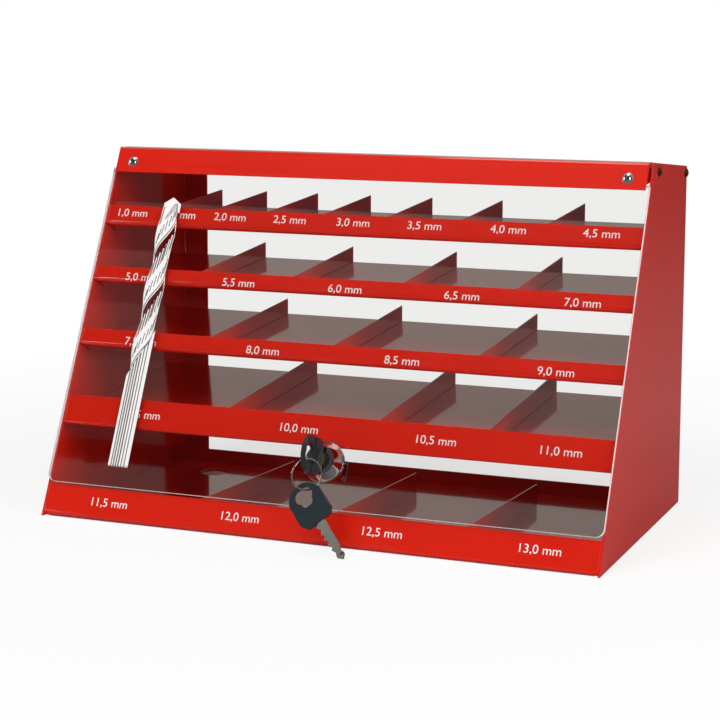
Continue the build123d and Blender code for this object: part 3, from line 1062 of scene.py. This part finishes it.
@dataclass(frozen=True)
class FloorPaper:
    """Matt white background paper: pale all over, with a soft shadow round the case.

    It glows to the camera, fully from fade_end outward and by the share glow up to fade_start.
    """

    name: str = "pale_floor_paper"
    colour: str = "#F4F4F4"
    reflected_shade_colour: str = "#707070"
    glow: float = 0.8
    fade_start: float = 0.3
    fade_end: float = 0.75
    # Half of the case's width and depth, and the share of them that stays dark.
    footprint: Point = (0.2, 0.1075)
    dark_share: float = 0.98

    def build(self) -> bpy.types.Material:
        """Builds the material.

        Returns:
            The paper.
        """
        material, tree = new_material(self.name)
        rays = add_node(tree, "ShaderNodeLightPath")
        place = add_node(tree, "ShaderNodeTexCoord")
        distance = add_node(
            tree, "ShaderNodeVectorMath", {0: place.outputs["Object"]}, operation="LENGTH"
        )
        share = add_node(
            tree,
            "ShaderNodeMapRange",
            {
                "Value": distance.outputs["Value"],
                "From Min": self.fade_start,
                "From Max": self.fade_end,
                "To Min": self.glow,
                "To Max": 1.0,
            },
        )
        # Under the case the paper lies in the dark, as its base hole shows.
        spread = add_node(
            tree,
            "ShaderNodeVectorMath",
            {0: place.outputs["Object"], 1: (1 / self.footprint[0], 1 / self.footprint[1], 0)},
            operation="MULTIPLY",
        )
        size = add_node(
            tree, "ShaderNodeVectorMath", {0: spread.outputs["Vector"]}, operation="ABSOLUTE"
        )
        sides = add_node(tree, "ShaderNodeSeparateXYZ", {0: size.outputs["Vector"]})
        farther = calculate(tree, "MAXIMUM", sides.outputs["X"], sides.outputs["Y"])
        outside = calculate(tree, "GREATER_THAN", farther, self.dark_share)
        glowing = calculate(tree, "MULTIPLY", outside, share.outputs["Result"])
        seen = calculate(tree, "MULTIPLY", rays.outputs["Is Camera Ray"], glowing)
        # Painted shade in reflections: glossy faces see the paper in a darker grey than the camera
        # does.
        colour = mix(
            tree,
            "RGBA",
            rays.outputs["Is Glossy Ray"],
            linear(self.colour),
            linear(self.reflected_shade_colour),
        )
        paper = add_node(tree, "ShaderNodeBsdfDiffuse", {"Color": colour})
        glow = add_node(tree, "ShaderNodeEmission", {"Color": WHITE, "Strength": 1.0})
        whole = mix_shaders(tree, seen, paper.outputs["BSDF"], glow.outputs["Emission"])
        add_node(tree, "ShaderNodeOutputMaterial", {"Surface": whole})
        return material


@dataclass
class Studio:
    """Pale floor, white surroundings and soft lamps."""

    floor_half: float = 6.0
    # Brightness of the world: as the camera sees it, and as it lights the case.
    backdrop: float = 1.0
    sky_light: float = 0.2
    # Brightness of the room in mirrors, in front and behind, and where it changes along Y.
    front_mirror: float = 0.03
    rear_mirror: float = 0.38
    mirror_change: Point = (-0.35, 0.1)
    mirrored_warmth: str = "#FFFAF2"
    aim: tuple[float, float, float] = (0.0, 0.0, 0.12)
    lamps: tuple[Softbox, ...] = (
        Softbox("key_softbox", (-0.6, -1.5, 1.95), (1.2, 1.2), power=23.0, mirrored=False),
        Softbox("side_softbox", (2.1, -0.5, 1.0), (1.2, 1.2), power=25.0, mirrored=False),
        Softbox("top_softbox", (0.1, 0.0, 2.2), (1.6, 1.0), power=10.0),
        Softbox("low_softbox", (-0.78, -1.75, 0.82), (0.4, 0.24), power=0.35),
        # Two tall strips that only the chrome, the ring and the blades turn toward the camera.
        Softbox("right_strip", (1.5, -1.5, 0.7), (0.45, 1.4), power=8.0),
        Softbox("left_strip", (-1.9, -0.9, 0.5), (0.5, 1.2), power=8.0),
    )

    def build(self) -> None:
        """Builds the studio."""
        self.lay_floor()
        self.light_world()
        for lamp in self.lamps:
            self.hang(lamp)

    def lay_floor(self) -> None:
        """Lays the floor, which shows pale to the camera and keeps the case's shadow."""
        half = self.floor_half
        drawing = bmesh.new()
        corners = [(-half, -half, 0), (half, -half, 0), (half, half, 0), (-half, half, 0)]
        drawing.faces.new([drawing.verts.new(c) for c in corners])
        mesh = bpy.data.meshes.new("studio_floor")
        drawing.to_mesh(mesh)
        drawing.free()
        floor = mesh_piece("studio_floor", mesh, FloorPaper().build())

    def light_world(self) -> None:
        """Lights the world: white to the camera, a white wall behind and a dim room in front
        to mirrors, and a plain soft light to everything else."""
        world = bpy.data.worlds.new("studio_world")
        bpy.context.scene.world = world
        world.use_nodes = True
        tree = world.node_tree
        tree.nodes.clear()
        rays = add_node(tree, "ShaderNodeLightPath")
        place = add_node(tree, "ShaderNodeTexCoord")
        split = add_node(tree, "ShaderNodeSeparateXYZ", {0: place.outputs["Generated"]})
        room = add_node(
            tree,
            "ShaderNodeMapRange",
            {
                "Value": split.outputs["Y"],
                "From Min": self.mirror_change[0],
                "From Max": self.mirror_change[1],
                "To Min": self.front_mirror,
                "To Max": self.rear_mirror,
            },
        )
        glossy = rays.outputs["Is Glossy Ray"]
        mirrored = mix(tree, "FLOAT", glossy, self.sky_light, room.outputs["Result"])
        seen = calculate(
            tree, "MAXIMUM", rays.outputs["Is Camera Ray"], rays.outputs["Is Transmission Ray"]
        )
        strength = mix(tree, "FLOAT", seen, mirrored, self.backdrop)
        # The room that mirrors see is a little warmer than the white behind the case.
        hue = mix(tree, "RGBA", glossy, WHITE, linear(self.mirrored_warmth))
        light = add_node(tree, "ShaderNodeBackground", {"Color": hue, "Strength": strength})
        add_node(tree, "ShaderNodeOutputWorld", {"Surface": light.outputs["Background"]})

    def hang(self, lamp: Softbox) -> None:
        """Hangs a lamp and aims it at the case.

        Args:
            lamp: The lamp.
        """
        light = bpy.data.lights.new(lamp.name, "AREA")
        light.shape = "RECTANGLE"
        light.size, light.size_y = lamp.size
        light.energy = lamp.power
        hung = bpy.data.objects.new(lamp.name, light)
        hung.location = lamp.place
        toward = Vector(self.aim) - Vector(lamp.place)
        hung.rotation_euler = toward.to_track_quat("-Z", "Y").to_euler()
        hung.visible_camera = False
        hung.visible_glossy = lamp.mirrored
        bpy.context.scene.collection.objects.link(hung)


@dataclass(frozen=True)
class ViewCamera:
    """The camera at the photograph's place, worked out from the case's corners."""

    place: tuple[float, float, float] = (0.50066, -1.22513, 0.33217)
    # Angles in degrees.
    yaw: float = 21.604
    pitch: float = 7.437
    roll: float = 0.335
    focal_pixels: float = 1912.97
    centre_pixels: Point = (388.0, 285.0)
    frame_pixels: float = 720.0
    sensor: float = 36.0

    def build(self) -> None:
        """Builds the camera and makes it the scene's."""
        yaw, pitch, roll = (math.radians(a) for a in (self.yaw, self.pitch, self.roll))
        forward = Vector(
            (
                -math.sin(yaw) * math.cos(pitch),
                math.cos(yaw) * math.cos(pitch),
                -math.sin(pitch),
            )
        )
        level = Vector((math.cos(yaw), math.sin(yaw), 0))
        above = level.cross(forward)
        right = level * math.cos(roll) + above * math.sin(roll)
        up = above * math.cos(roll) - level * math.sin(roll)
        data = bpy.data.cameras.new("view_camera")
        data.sensor_width = self.sensor
        data.lens = self.sensor * self.focal_pixels / self.frame_pixels
        data.shift_x = (self.frame_pixels / 2 - self.centre_pixels[0]) / self.frame_pixels
        data.shift_y = (self.centre_pixels[1] - self.frame_pixels / 2) / self.frame_pixels
        camera = bpy.data.objects.new("view_camera", data)
        rotation = Matrix((right, up, -forward)).transposed().to_4x4()
        camera.matrix_world = Matrix.Translation(self.place) @ rotation
        bpy.context.scene.collection.objects.link(camera)
        bpy.context.scene.camera = camera


# ------------------------------------------------------------------ main
def main() -> None:
    """Loads the frame, dresses it piece by piece and sets up the studio."""
    logging.basicConfig(level=logging.INFO, format="%(name)s: %(message)s")
    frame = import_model()
    bpy.context.scene.view_settings.view_transform = "Standard"

    front = LeaningFront()
    finishes = Finishes()
    nodes = frame["nodes"]

    case = Case(front, finishes)
    case.dress(nodes)
    case.print_sizes()

    cover = Cover(front, finishes)
    cover.dress(nodes)
    cover.print_drill()

    lock = LockAndKeys(front, finishes)
    lock.dress(nodes)
    lock.line_keyway()

    Studio().build()
    ViewCamera().build()


if __name__ == "__main__":
    main()
